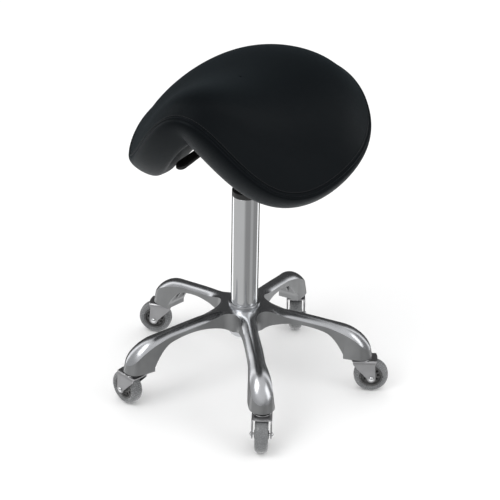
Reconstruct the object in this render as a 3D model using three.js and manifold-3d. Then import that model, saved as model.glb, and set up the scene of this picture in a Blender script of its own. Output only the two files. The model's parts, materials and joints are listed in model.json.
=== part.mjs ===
// A saddle stool: a padded saddle on a gas lift column, over a cast five-arm base with casters.
// Millimetres, +Z up. The origin is on the floor, on the axis of the column.
// The saddle's own frame has +Y towards the pommel and +X towards the sitter's right.

import * as THREE from 'three';
import { mergeVertices } from 'three/addons/utils/BufferGeometryUtils.js';
import Module from 'manifold-3d';

const manifold = await Module();
manifold.setup();

// ---------------------------------------------------------------- driving dimensions

const gap = 0.3; // left between two pieces that touch

const wheel = {
  radius: 31.75,
  width: 24,
  treadFlat: 7,
  shoulder: 2.6,
  beadRadius: 21,
  beadHalf: 9.5,
  segments: 20,
};

const wheelHub = {
  rimThickness: 2.4,
  webHalf: 4,
  bossRadius: 7.5,
  bossHalf: 13,
  holes: 7,
  holeRadius: 2.3,
  holeCircle: 13.2,
  segments: 14,
};

const caster = {
  trail: 16.5, // from the swivel axis back to the axle
  forkWidth: 36,
  legThickness: 2.6,
  legEnd: 8, // radius of the leg's rounded end
  crownBottom: 65.6,
  crownTop: 68.2,
  crownRadius: 20,
  crownFront: -17,
  crownBack: 22,
  crownSkirt: 9, // height of the wide part of the legs
  kingpinRadius: 5.5,
  rivetRadius: 6.7,
  raceRadius: 17,
  stemHeight: 22,
  axleRadius: 3,
  axleLength: 42,
  nutRadius: 5,
};

const base = {
  armCount: 5,
  firstArm: -81, // degrees round +Z from +X
  swivelCircle: 223, // radius of the circle through the caster swivel axes
  slimHalf: 16, // half the arm's width where it is slimmest
  endRadius: 23, // the arm's round end over the caster
  endCentre: 217,
  filletRadius: 25, // between one arm and the next
  lean: 3.2, // how far the side walls lean in from foot to crown
  kneeStart: 180, // where the arm's top starts to turn down
  heel: 188, // where the skirt drops to the caster socket
  socketBottom: 73,
  wall: 4.5,
  ribThickness: 3,
  crossRibs: [92, 140],
  channelStart: 46,
  hubTop: 164,
  hubBottom: 101,
  hubRadius: 29.5,
};

// The way each caster points, degrees round +Z, in the order of the arms.
const casterDirections = [-92, -1, -90, 167, 135];

const column = {
  radius: 25,
  footRadius: 24.2, // small end of the taper that wedges into the hub
  top: 381,
  bottom: 92,
  wall: 2,
  floorThickness: 3,
  rodHole: 6,
  segments: 24,
};

const bush = {
  bottom: 305,
  collarHeight: 10,
  chamfer: 2,
};

const lift = {
  tubeRadius: 14,
  taperRadius: 13.2,
  taperStart: 452,
  top: 505,
  bottom: 172,
  wall: 1.4,
  sealHeight: 12,
  plugHeight: 6,
  rodRadius: 5,
  rodBottom: 87,
  grooveDepth: 1.4,
  grooveHeight: 2,
  pistonHeight: 280,
  pistonThickness: 12,
  pinRadius: 4,
  pinBottom: 487,
  pinTop: 510,
};

const bearing = { inner: 6, outer: 17, bottom: 95.6, top: 104 };

const buffer = { outer: 15, bottom: 104.4, top: 111.4 };

const clip = { radius: 10, thickness: 1.4, mouth: 50 };

const mechanism = {
  plateWidth: 140,
  plateLength: 180,
  plateCorner: 16,
  plateBottom: 517,
  plateThickness: 3,
  plateLip: 7,
  socketRadius: 19,
  socketBottom: 458,
  bracketLength: 60,
  bracketWidth: 40,
  skirtLength: 14,
  skirtThickness: 4,
  boltSpacingX: 100,
  boltSpacingY: 140,
  boltRadius: 4,
  boltLength: 24,
  boltHeadRadius: 6.5,
  boltHeadHeight: 5,
  insertWall: 2.5,
  insertLength: 16,
};

const lever = {
  azimuth: 220, // degrees round +Z at rest
  pivotDistance: 25, // from the column axis out to the pivot
  pivotRadius: 1,
  pivotHalf: 15,
  strapStart: -5,
  strapBend: 48,
  strapEnd: 120,
  strapWidth: 14,
  strapThickness: 3,
  strapBottom: 510.3,
  slope: -0.343, // of the strap and grip beyond the bend
  gripStart: 86,
  gripEnd: 152, // from the column axis to the tip of the grip
  gripWidth: 22,
  gripThickness: 8,
};

const saddle = {
  forward: 241.3, // the way the pommel points, degrees round +Z
  unit: 200, // the length that the height formula's terms are scaled by
  foam: 58,
  pan: 9.7,
  edgeDrop: 38, // how far the crowned edge falls below the seat's own curve
  edgePower: 5,
  rollThickness: 58,
  rollBulge: 10.75,
  rollLean: 8,
  panShare: 0.8, // the pan's outline as a share of the seam's outline
  padMargin: 7, // between the pan's flat pad and the plate's edge
  padCorner: 12,
  segments: 34,
};

const degree = Math.PI / 180;

// ---------------------------------------------------------------- solids and booleans

function signedVolume(geometry) {
  const position = geometry.attributes.position;
  const index = geometry.index;
  const corners = [new THREE.Vector3(), new THREE.Vector3(), new THREE.Vector3()];
  let volume = 0;
  for (let i = 0; i < index.count; i += 3) {
    corners.forEach((corner, k) => corner.fromBufferAttribute(position, index.getX(i + k)));
    volume += corners[0].dot(corners[1].clone().cross(corners[2])) / 6;
  }
  return volume;
}

// Merges shared corners, drops the slivers left at a pole, and turns the faces outward.
function weld(geometry) {
  const bare = geometry.clone();
  bare.deleteAttribute('normal');
  bare.deleteAttribute('uv');
  const merged = mergeVertices(bare, 1e-4);
  const source = merged.index.array;
  const kept = [];
  for (let i = 0; i < source.length; i += 3) {
    const [a, b, c] = [source[i], source[i + 1], source[i + 2]];
    if (a !== b && b !== c && a !== c) kept.push(a, b, c);
  }
  merged.setIndex(kept);
  if (signedVolume(merged) < 0) merged.setIndex(kept.reverse());
  return merged;
}

function toSolid(geometry) {
  const welded = weld(geometry);
  return new manifold.Manifold(new manifold.Mesh({
    numProp: 3,
    vertProperties: new Float32Array(welded.attributes.position.array),
    triVerts: new Uint32Array(welded.index.array),
  }));
}

function toGeometry(solid) {
  const mesh = solid.getMesh();
  const geometry = new THREE.BufferGeometry();
  geometry.setAttribute('position', new THREE.BufferAttribute(new Float32Array(mesh.vertProperties), 3));
  geometry.setIndex(Array.from(mesh.triVerts));
  return geometry;
}

function join(...geometries) {
  return toGeometry(geometries.map(toSolid).reduce((sum, solid) => sum.add(solid)));
}

function cut(body, ...tools) {
  return toGeometry(tools.map(toSolid).reduce((rest, solid) => rest.subtract(solid), toSolid(body)));
}

function overlap(first, second) {
  return toGeometry(toSolid(first).intersect(toSolid(second)));
}

// A closed surface through rings of points, its two ends closed by fans round their middles.
function loft(rings) {
  const count = rings[0].length;
  const points = rings.flat();
  const indices = [];
  for (let i = 0; i + 1 < rings.length; i += 1) {
    for (let j = 0; j < count; j += 1) {
      const next = (j + 1) % count;
      const [a, b] = [i * count + j, i * count + next];
      const [c, d] = [a + count, b + count];
      indices.push(a, b, c, b, d, c);
    }
  }
  const middle = (ring) => ring.reduce((sum, p) => sum.add(p), new THREE.Vector3()).divideScalar(count);
  points.push(middle(rings[0]), middle(rings[rings.length - 1]));
  const [firstMiddle, lastMiddle] = [points.length - 2, points.length - 1];
  const lastRing = (rings.length - 1) * count;
  for (let j = 0; j < count; j += 1) {
    const next = (j + 1) % count;
    indices.push(next, j, firstMiddle);
    indices.push(lastRing + j, lastRing + next, lastMiddle);
  }
  const geometry = new THREE.BufferGeometry().setFromPoints(points);
  geometry.setIndex(indices);
  return geometry;
}

// Revolves [radius, height] corners round +Z.
function turned(profile, segments) {
  return turnedRoundY(profile, segments).rotateX(Math.PI / 2);
}

// Revolves [radius, distance] corners round +Y, with a flat facet facing down.
function turnedRoundY(profile, segments) {
  const points = profile.map(([r, h]) => new THREE.Vector2(r, h));
  const closed = profile[0][0] > 0 ? [...points, points[0].clone()] : points;
  return new THREE.LatheGeometry(closed, segments, Math.PI / segments);
}

function rod(radius, bottom, top, segments) {
  return turned([[0, bottom], [radius, bottom], [radius, top], [0, top]], segments);
}

// A rod along Y through the middle, for holes and pins that cross a piece.
function crossRod(radius, half, segments) {
  return turnedRoundY([[0, -half], [radius, -half], [radius, half], [0, half]], segments);
}

function block(width, depth, height, x, y, z) {
  return new THREE.BoxGeometry(width, depth, height).translate(x, y, z);
}

function plateShape(width, length, corner) {
  const shape = new THREE.Shape();
  const [x, y] = [width / 2, length / 2];
  shape.moveTo(-x + corner, -y);
  shape.lineTo(x - corner, -y);
  shape.absarc(x - corner, -y + corner, corner, -Math.PI / 2, 0);
  shape.lineTo(x, y - corner);
  shape.absarc(x - corner, y - corner, corner, 0, Math.PI / 2);
  shape.lineTo(-x + corner, y);
  shape.absarc(-x + corner, y - corner, corner, Math.PI / 2, Math.PI);
  shape.lineTo(-x, -y + corner);
  shape.absarc(-x + corner, -y + corner, corner, Math.PI, Math.PI * 1.5);
  return shape;
}

function slab(shape, bottom, thickness, curveSegments) {
  const options = { depth: thickness, bevelEnabled: false, curveSegments };
  return new THREE.ExtrudeGeometry(shape, options).translate(0, 0, bottom);
}

// ---------------------------------------------------------------- materials and nodes

const finishes = {
  polishedAluminium: { color: 0xc9cbce, roughness: 0.16, metalness: 1 },
  chrome: { color: 0xd8dadd, roughness: 0.06, metalness: 1 },
  brushedSteel: { color: 0xa6a8aa, roughness: 0.38, metalness: 1 },
  blackSteel: { color: 0x17181a, roughness: 0.5, metalness: 0.3 },
  blackPlastic: { color: 0x101113, roughness: 0.48, metalness: 0 },
  greyPlastic: { color: 0x4c4f52, roughness: 0.35, metalness: 0 },
  brass: { color: 0xb58a45, roughness: 0.35, metalness: 1 },
  rubber: { color: 0x1a1a1b, roughness: 0.85, metalness: 0 },
  smokyPolyurethane: { color: 0x7b7f82, roughness: 0.2, metalness: 0 },
  blackLeather: { color: 0x0b0c0e, roughness: 0.4, metalness: 0 },
};

function piece(name, geometry, finish) {
  const mesh = new THREE.Mesh(weld(geometry), new THREE.MeshStandardMaterial(finishes[finish]));
  mesh.name = name;
  return mesh;
}

// ---------------------------------------------------------------- star base

function smooth(from, to, x) {
  return THREE.MathUtils.smoothstep(x, from, to);
}

// Half the arm's width beyond the fillets: slim in the middle, swelling to the caster socket.
function sideHalf(s) {
  return base.slimHalf + 2 * (1 - smooth(30, 90, s)) + 7 * smooth(150, 208, s);
}

// How far out along the arm the fillet's centre lies, on the line half way to the next arm.
function filletCentre() {
  return (sideHalf(58) + base.filletRadius) / Math.tan(Math.PI / base.armCount);
}

// Half the width of the arm's outline moved in by an inset, at a distance s from the column.
function armHalf(s, inset) {
  const centre = filletCentre();
  if (s < centre) {
    const radius = base.filletRadius + inset;
    return sideHalf(58) + base.filletRadius - Math.sqrt(Math.max(radius ** 2 - (centre - s) ** 2, 0));
  }
  if (s > base.endCentre) {
    return Math.sqrt(Math.max((base.endRadius - inset) ** 2 - (s - base.endCentre) ** 2, 0));
  }
  return sideHalf(s) - inset;
}

// The arm's spine falls gently from the hub, then turns down over the caster like a knee.
function armSpine(s) {
  const run = s - base.hubRadius;
  const fall = 158.5 - 0.115 * run - 0.0003 * run ** 2;
  const bend = THREE.MathUtils.clamp((s - base.kneeStart) / 60, 0, 1);
  return base.socketBottom + (fall - base.socketBottom) * Math.sqrt(1 - bend ** 2.2);
}

// The skirt's lower edge: an arch that steepens to the heel of the caster socket.
function armArch(s) {
  if (s > base.heel) return base.socketBottom;
  return 133 - 0.0035 * (s - 97) ** 2 - 20 * Math.max((s - 150) / 36, 0) ** 2.2;
}

// The crown's height at distance s and a share of the way from the spine to the crown's edge. It
// is an arc across the arm, and flattens into the hub.
function crownHeight(s, share) {
  const armLike = smooth(34, 74, s);
  const distance = (1 - armLike) * Math.hypot(s, share * armHalf(s, base.lean)) + armLike * s;
  const pastCentre = Math.max(s - base.endCentre, 0) / (base.endRadius - base.lean);
  const endFall = Math.sqrt(Math.max(1 - pastCentre ** 2, 0));
  const rise = 0.6 * (sideHalf(s) - base.lean) * endFall * smooth(22, 55, s);
  const bow = 0.8;
  const arc = (1 - Math.sqrt(1 - (bow * share) ** 2)) / (1 - Math.sqrt(1 - bow ** 2));
  const wave = (1 - Math.cos(Math.PI * share)) / 2;
  return armSpine(distance) - rise * ((1 - armLike) * wave + armLike * arc);
}

// One cross-section: the foot of each wall at distance low, and the crown at distance high.
function armRing(low, high, inset, bottom, steps) {
  const footHalf = armHalf(low, inset);
  const crownHalf = armHalf(high, base.lean + inset);
  const ring = [new THREE.Vector3(low, -footHalf, bottom)];
  for (let i = 0; i <= steps; i += 1) {
    const share = (2 * i) / steps - 1;
    ring.push(new THREE.Vector3(high, share * crownHalf, crownHeight(high, share) - inset));
  }
  ring.push(new THREE.Vector3(low, footHalf, bottom));
  return ring;
}

function armSolid() {
  const crownSteps = 4;
  const rings = [48, 22].map((angle) => {
    const back = Math.sin(angle * degree);
    const low = filletCentre() - base.filletRadius * back;
    return armRing(low, low - base.lean * back, 0, armArch(low), crownSteps);
  });
  const along = [58, 84, 116, 148, 168, 180, base.heel, base.heel + 1, base.endCentre];
  along.forEach((s) => rings.push(armRing(s, s, 0, armArch(s), crownSteps)));
  [30, 58, 82].forEach((angle) => {
    const out = Math.sin(angle * degree);
    const low = base.endCentre + base.endRadius * out;
    rings.push(armRing(low, low - base.lean * out, 0, base.socketBottom, crownSteps));
  });
  return loft(rings);
}

// The open channel under the arm.
function armChannel() {
  const below = 60;
  const along = [base.channelStart, 58, 84, 116, 148, 168, base.heel - base.wall];
  return loft(along.map((s) => armRing(s, s, base.wall, armArch(s) - below, 3)));
}

// One rib along the channel's middle and two across it, their tops buried in the arm's roof.
function armRibs() {
  const [height, middle] = [120, 120];
  const start = base.channelStart - 4;
  const end = base.heel - 1;
  const recess = 2;
  const along = [start, 84, 116, 148, 168, end];
  const core = loft(along.map((s) => armRing(s, s, base.wall / 2, armArch(s) + recess, 3)));
  const lengthwise = block(end - start - 2, base.ribThickness, height, (start + end) / 2, 0, middle);
  const crossed = base.crossRibs.map((s) => block(base.ribThickness, 60, height, s, 0, middle));
  return overlap(core, join(lengthwise, ...crossed));
}

function arm() {
  return join(cut(armSolid(), armChannel()), armRibs());
}

// The boss round the column, with the web that joins the roots of the arms.
function hub() {
  const { hubRadius: r, hubTop: top, hubBottom: bottom } = base;
  const web = 47;
  return turned([
    [0, bottom], [r - 2, bottom], [r + 0.5, 122], [web - 1, armArch(web)], [web, armArch(web) + 1],
    [web - 1.5, armSpine(web) - 5], [r + 6, armSpine(r + 6) - 1.5], [r, armSpine(r)], [r, top - 1],
    [r - 1, top], [0, top],
  ], 30);
}

function starBase() {
  const arms = [];
  const bores = [];
  const [boreBottom, boreTop] = [base.socketBottom - 5, base.socketBottom + caster.stemHeight + 1];
  for (let i = 0; i < base.armCount; i += 1) {
    const azimuth = (base.firstArm + (i * 360) / base.armCount) * degree;
    const bore = rod(caster.kingpinRadius + gap, boreBottom, boreTop, 12);
    arms.push(arm().rotateZ(azimuth));
    bores.push(bore.translate(base.swivelCircle, 0, 0).rotateZ(azimuth));
  }
  const clear = 9;
  const taper = turned([
    [0, base.hubBottom - clear], [column.footRadius + gap, base.hubBottom - clear],
    [column.footRadius + gap, base.hubBottom], [column.radius + gap, base.hubTop],
    [column.radius + gap, base.hubTop + clear], [0, base.hubTop + clear],
  ], column.segments);
  return cut(join(hub(), ...arms), taper, ...bores);
}

// ---------------------------------------------------------------- casters

// Fixed in the arm: a grip stem above, the upper race, and the kingpin riveted under the fork.
function casterStem() {
  const { kingpinRadius: r, rivetRadius: rivet, crownBottom, crownTop, raceRadius: race } = caster;
  const neck = r - 0.8;
  const flangeTop = base.socketBottom - gap;
  const stemTop = flangeTop + caster.stemHeight;
  return turned([
    [0, crownBottom - 2.3], [rivet, crownBottom - 2.3], [rivet, crownBottom - gap],
    [neck, crownBottom - gap], [neck, crownTop + gap], [race, crownTop + gap],
    [race, crownTop + 2], [race - 3, flangeTop], [r, flangeTop],
    [r, stemTop - 1.5], [r - 1.5, stemTop], [0, stemTop],
  ], 12);
}

// The fork's side outline in the plane of trail and height: wide crown, legs down to the axle.
function forkOutline() {
  const { trail, legEnd, crownTop, crownSkirt, crownFront, crownBack } = caster;
  const skirtBottom = crownTop - crownSkirt;
  const lean = Math.atan2(trail - crownFront - legEnd, skirtBottom - wheel.radius);
  const shape = new THREE.Shape();
  shape.moveTo(crownFront, crownTop);
  shape.lineTo(crownFront - 2, crownTop - 4);
  shape.lineTo(crownFront, skirtBottom);
  shape.absarc(trail, wheel.radius, legEnd, Math.PI + lean * 0.8, Math.PI * 2);
  shape.lineTo(crownBack + 2, skirtBottom);
  shape.lineTo(crownBack, crownTop);
  return shape;
}

function fork() {
  const { forkWidth, legThickness, crownRadius, crownBottom, crownTop, trail } = caster;
  const half = forkWidth / 2;
  const options = { depth: forkWidth, bevelEnabled: false, curveSegments: 5 };
  const outline = new THREE.ExtrudeGeometry(forkOutline(), options);
  outline.rotateX(Math.PI / 2).translate(0, half, 0);
  const crown = rod(crownRadius, crownBottom, crownTop, 16);
  const slotHeight = crownBottom + 10;
  const slot = block(120, forkWidth - 2 * legThickness, slotHeight, 0, 0, crownBottom - slotHeight / 2);
  const pinHole = rod(caster.kingpinRadius - 0.8 + gap, crownBottom - 5, crownTop + 5, 10);
  const axleHole = crossRod(caster.axleRadius + gap, forkWidth, 8).translate(trail, 0, wheel.radius);
  return cut(join(outline, crown), slot, pinHole, axleHole);
}

// A bolt with a domed head on one side and an acorn nut on the other.
function axle() {
  const { axleRadius: r, nutRadius: nut, trail } = caster;
  const end = caster.axleLength / 2;
  const seat = caster.forkWidth / 2 + gap;
  const half = [[0, end], [nut - 2.6, end - 0.5], [nut - 0.6, end - 2], [nut, seat], [r, seat]];
  const mirrored = half.map(([radius, y]) => [radius, -y]).reverse();
  return turnedRoundY([...half, ...mirrored], 8).translate(trail, 0, wheel.radius);
}

// A spool: outer rim, thin web drilled with a ring of holes, and the bearing boss.
function hubSpool() {
  const { rimThickness, webHalf, bossRadius, bossHalf, holes, holeRadius, holeCircle, segments } = wheelHub;
  const rim = wheel.beadRadius - gap;
  const bore = caster.axleRadius + gap;
  const side = [
    [rim, wheel.beadHalf], [rim - rimThickness + 0.6, wheel.beadHalf], [rim - rimThickness, webHalf],
    [bossRadius + 1, webHalf], [bossRadius, bossHalf], [bore, bossHalf],
  ];
  const mirrored = side.map(([r, y]) => [r, -y]).reverse();
  const spool = turnedRoundY([...side, ...mirrored], segments);
  const drills = Array.from({ length: holes }, (_, i) => (
    crossRod(holeRadius, bossHalf, 5).translate(holeCircle, 0, 0).rotateY((i * 2 * Math.PI) / holes)
  ));
  return cut(spool, ...drills).translate(caster.trail, 0, wheel.radius);
}

// A round-crowned tyre; its facets touch the floor flat.
function tyre() {
  const tread = wheel.radius / Math.cos(Math.PI / wheel.segments);
  const half = wheel.width / 2;
  const side = [
    [wheel.beadRadius, wheel.beadHalf], [wheel.beadRadius + 4, half],
    [tread - wheel.shoulder, half - wheel.shoulder], [tread, wheel.treadFlat / 2],
  ];
  const mirrored = side.map(([r, y]) => [r, -y]).reverse();
  return turnedRoundY([...side, ...mirrored], wheel.segments).translate(caster.trail, 0, wheel.radius);
}

function casterAt(index) {
  const armAzimuth = (base.firstArm + (index * 360) / base.armCount) * degree;
  const place = new THREE.Group();
  place.position.set(
    base.swivelCircle * Math.cos(armAzimuth),
    base.swivelCircle * Math.sin(armAzimuth),
    0,
  );
  place.rotation.z = casterDirections[index] * degree;
  const label = index + 1;
  place.add(
    piece(`caster_stem_${label}`, casterStem(), 'brushedSteel'),
    piece(`caster_fork_${label}`, fork(), 'brushedSteel'),
    piece(`caster_axle_${label}`, axle(), 'chrome'),
    piece(`wheel_hub_${label}`, hubSpool(), 'greyPlastic'),
    piece(`wheel_tyre_${label}`, tyre(), 'smokyPolyurethane'),
  );
  return place;
}

// ---------------------------------------------------------------- gas lift column

// The outer tube: straight above the hub, tapered where it wedges in, with a pierced floor.
function columnTube() {
  const { radius: r, footRadius: foot, wall, bottom, top, rodHole } = column;
  const floor = bottom + column.floorThickness;
  return turned([
    [rodHole, bottom], [foot - 4, bottom], [foot - 1, bottom + 2], [foot, bottom + 6],
    [foot, base.hubBottom], [r, base.hubTop], [r, top], [r - wall, top],
    [r - wall, base.hubTop], [foot - wall, floor + 4], [foot - wall - 2, floor], [rodHole, floor],
  ], column.segments);
}

// The plastic guide that centres the pressure tube: a sleeve inside and a collar on top.
function guideBush() {
  const inner = lift.tubeRadius + gap;
  const sleeve = column.radius - column.wall - gap;
  const collarBottom = column.top + gap;
  const collarTop = column.top + bush.collarHeight;
  return turned([
    [inner, bush.bottom], [sleeve, bush.bottom], [sleeve, collarBottom], [column.radius, collarBottom],
    [column.radius, collarTop - bush.chamfer], [column.radius - bush.chamfer, collarTop],
    [inner, collarTop],
  ], column.segments);
}

function ring(inner, outer, bottom, top, segments) {
  return turned([[inner, bottom], [outer, bottom], [outer, top], [inner, top]], segments);
}

// Between the rod's foot and the column floor, so that the seat turns freely.
function thrustBearing() {
  return ring(bearing.inner, bearing.outer, bearing.bottom, bearing.top, 20);
}

// Stops the pressure tube softly at the lowest height.
function rubberBuffer() {
  return ring(lift.rodRadius + gap, buffer.outer, buffer.bottom, buffer.top, 16);
}

// The rod stands on the column floor and carries the piston inside the pressure tube.
function pistonRod() {
  const { rodRadius: r, rodBottom, grooveDepth, grooveHeight, pistonHeight, pistonThickness } = lift;
  const piston = lift.tubeRadius - lift.wall - gap;
  const grooveTop = column.bottom - 1.8;
  const neck = r - grooveDepth;
  return turned([
    [0, rodBottom], [r - 1, rodBottom], [r, rodBottom + 1], [r, grooveTop - grooveHeight],
    [neck, grooveTop - grooveHeight], [neck, grooveTop], [r, grooveTop], [r, pistonHeight],
    [piston, pistonHeight], [piston, pistonHeight + pistonThickness], [0, pistonHeight + pistonThickness],
  ], 14);
}

// A flat spring clip with an open mouth, pushed into the rod's groove under the column.
function retainingClip() {
  const shape = new THREE.Shape();
  const mouth = clip.mouth * degree;
  const inner = lift.rodRadius - lift.grooveDepth + gap;
  shape.absarc(0, 0, clip.radius, mouth, Math.PI * 2 - mouth, false);
  shape.absarc(0, 0, inner, Math.PI * 2 - mouth, mouth, true);
  return slab(shape, column.bottom - 3.5, clip.thickness, 12);
}

function pressureTube() {
  const { tubeRadius: r, taperRadius: tip, wall, bottom, top, taperStart, sealHeight } = lift;
  const rodFit = lift.rodRadius + gap;
  const pinFit = lift.pinRadius + gap;
  const plugBottom = top - lift.plugHeight;
  return turned([
    [rodFit, bottom], [r - 1, bottom], [r, bottom + 1], [r, taperStart], [tip, top], [pinFit, top],
    [pinFit, plugBottom], [tip - wall - 0.6, plugBottom], [r - wall, taperStart],
    [r - wall, bottom + sealHeight], [rodFit, bottom + sealHeight],
  ], 16);
}

// ---------------------------------------------------------------- seat mechanism

function boltPlaces() {
  const [x, y] = [mechanism.boltSpacingX / 2, mechanism.boltSpacingY / 2];
  return [[-x, -y], [x, -y], [-x, y], [x, y]];
}

// Rods at the four bolts' places, to drill them out.
function boltDrills(radius, bottom, top) {
  return boltPlaces().map(([x, y]) => rod(radius, bottom, top, 10).translate(x, y, 0));
}

// A pressed plate with turned-down edges, drilled for four bolts.
function seatPlate() {
  const { plateWidth: w, plateLength: l, plateThickness: t, plateBottom: z, plateLip: lip } = mechanism;
  const corner = mechanism.plateCorner;
  const outer = slab(plateShape(w, l, corner), z - lip, lip + t, 4);
  const inner = slab(plateShape(w - 2 * t, l - 2 * t, corner - t), z - lip - 1, lip + 1, 4);
  return cut(outer, inner, ...boltDrills(mechanism.boltRadius + gap, z - 1, z + t + 1));
}

// Welded under the plate: the tapered socket that drops over the pressure tube.
function taperSocket() {
  const { socketRadius: outer, socketBottom: bottom } = mechanism;
  const top = lift.top + 1;
  const slope = (lift.taperRadius - lift.tubeRadius) / (lift.top - lift.taperStart);
  const bore = (z) => lift.tubeRadius + slope * (z - lift.taperStart) + gap;
  return turned([
    [bore(bottom), bottom], [outer - 1, bottom], [outer, bottom + 2], [outer, top], [bore(top), top],
  ], 20);
}

function leverPivotHeight() {
  return lever.strapBottom + lever.strapThickness / 2;
}

// The bridge between socket and plate: two cheeks and a roof, with a slot for the lever.
function leverBracket() {
  const { bracketLength, bracketWidth, skirtLength, skirtThickness, plateBottom } = mechanism;
  const top = plateBottom - gap;
  const bottom = lift.top + 1 + gap;
  const slot = lever.strapWidth + 2;
  const body = slab(plateShape(bracketLength, bracketWidth, 8), bottom, top - bottom, 3);
  const channel = block(bracketLength + 10, slot, 30, 0, 0, bottom);
  const skirts = [1, -1].map((side) => block(
    skirtLength,
    skirtThickness,
    top - bottom,
    bracketLength / 2 + 1,
    side * (slot / 2 + skirtThickness / 2),
    (top + bottom) / 2,
  ));
  const roof = block(bracketLength - 12, bracketWidth, 2, -4, 0, top - 1);
  const pinHole = crossRod(lever.pivotRadius + 1, bracketWidth, 10);
  const well = rod(lift.taperRadius + 1, bottom - 20, bottom + 3, 16);
  const bridge = join(cut(body, channel), ...skirts, roof);
  return cut(bridge, pinHole.translate(lever.pivotDistance, 0, leverPivotHeight()), well);
}

// A steel strap: level over the pin, pierced for its pivot, then bent down towards the grip.
function leverStrap() {
  const { strapStart, strapBend, strapEnd, strapBottom: z, strapThickness: t, strapWidth, slope } = lever;
  const fall = slope * (strapEnd - strapBend);
  const shape = new THREE.Shape();
  shape.moveTo(strapStart, z);
  shape.lineTo(strapBend, z);
  shape.lineTo(strapEnd, z + fall);
  shape.lineTo(strapEnd, z + fall + t);
  shape.lineTo(strapBend + 1, z + t);
  shape.lineTo(strapStart, z + t);
  const strap = new THREE.ExtrudeGeometry(shape, { depth: strapWidth, bevelEnabled: false });
  strap.rotateX(Math.PI / 2).translate(0, strapWidth / 2, 0);
  const pivotHole = crossRod(lever.pivotRadius + 0.1, strapWidth, 8);
  return cut(strap, pivotHole.translate(lever.pivotDistance, 0, leverPivotHeight()));
}

// A flat moulded paddle, rounded at its tip, with a pocket for the strap.
function leverGrip() {
  const { gripStart, gripEnd, gripWidth, gripThickness, strapWidth, strapEnd, strapThickness } = lever;
  const half = gripWidth / 2;
  const underStrap = 3;
  const shape = new THREE.Shape();
  shape.moveTo(gripStart, -half + 2);
  shape.lineTo(gripEnd - half, -half);
  shape.absarc(gripEnd - half, 0, half, -Math.PI / 2, Math.PI / 2);
  shape.lineTo(gripStart, half - 2);
  const paddle = slab(shape, -underStrap, gripThickness, 6);
  const pocketLength = 2 * (strapEnd + gap - gripStart);
  const pocketHeight = strapThickness + 2 * gap;
  const pocketWidth = strapWidth + 2 * gap;
  const pocket = block(pocketLength, pocketWidth, pocketHeight, gripStart, 0, strapThickness / 2);
  const grip = cut(paddle, pocket);
  const position = grip.attributes.position;
  for (let i = 0; i < position.count; i += 1) {
    const fall = lever.slope * (position.getX(i) - lever.strapBend);
    position.setZ(i, position.getZ(i) + lever.strapBottom + fall);
  }
  return grip;
}

function leverPivot() {
  const pin = crossRod(lever.pivotRadius, lever.pivotHalf, 8);
  return pin.translate(lever.pivotDistance, 0, leverPivotHeight());
}

function plateBolt() {
  const { boltHeadRadius, boltHeadHeight, boltRadius, boltLength, plateBottom } = mechanism;
  const top = plateBottom - gap;
  const head = new THREE.CylinderGeometry(boltHeadRadius, boltHeadRadius, boltHeadHeight, 6);
  head.rotateX(Math.PI / 2).translate(0, 0, top - boltHeadHeight / 2);
  return join(head, rod(boltRadius, top - 1, plateBottom + boltLength, 10));
}

function insertNut() {
  const { plateBottom, plateThickness, boltRadius, insertWall, insertLength } = mechanism;
  const bottom = plateBottom + plateThickness + 3;
  return ring(boltRadius + gap, boltRadius + insertWall, bottom, bottom + insertLength, 10);
}

// ---------------------------------------------------------------- saddle

// The seam's outline at an angle round the seat: pear-shaped, wide at the back.
function outline(angle) {
  return {
    x: 201.6 * Math.sin(angle) - 19.3 * Math.sin(2 * angle),
    y: 13.3 + 218.9 * Math.cos(angle) - 14.5 * Math.cos(2 * angle),
  };
}

// The seat's own curve: it dips lengthwise between pommel and cantle and arches from side to
// side, most sharply at the front.
function seatCurve(x, y) {
  const s = y / saddle.unit;
  const u = x / saddle.unit;
  const spine = 607.8 + 12.2 * s + 32.1 * s ** 2 + 2.6 * s ** 3 - 13.2 * s ** 4;
  const arch = 106.6 + 155.1 * s + 90.4 * s ** 2;
  const relief = 29.3 + 86.9 * s + 16.4 * s ** 2;
  return spine - arch * u ** 2 + relief * u ** 4;
}

// A point at share t of the way from the middle to the seam, lowered by depth.
function seatPoint(t, angle, depth, edgeDrop) {
  const rim = outline(angle);
  const middle = outline(Math.PI / 2).y;
  const x = t * rim.x;
  const y = middle + t * (rim.y - middle);
  return new THREE.Vector3(x, y, seatCurve(x, y) - edgeDrop * t ** saddle.edgePower - depth);
}

// The padded edge rolls from the seam, bulging outward, round to the underside.
function rollPoint(angle, turn) {
  const step = 0.01;
  const here = seatPoint(1, angle, 0, saddle.edgeDrop);
  const before = seatPoint(1, angle - step, 0, saddle.edgeDrop);
  const along = seatPoint(1, angle + step, 0, saddle.edgeDrop).sub(before);
  const outward = here.clone().sub(seatPoint(1 - step, angle, 0, saddle.edgeDrop));
  const normal = outward.clone().cross(along).normalize();
  if (normal.z < 0) normal.negate();
  const side = along.clone().cross(normal).normalize();
  if (side.dot(outward) < 0) side.negate();
  const sunk = (1 - Math.cos(turn)) / 2;
  const bulge = saddle.rollBulge * Math.sin(turn) + saddle.rollLean * sunk;
  return here.addScaledVector(normal, -saddle.rollThickness * sunk).addScaledVector(side, bulge);
}

function ringOf(point) {
  return Array.from({ length: saddle.segments }, (_, i) => point((i * 2 * Math.PI) / saddle.segments));
}

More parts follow.
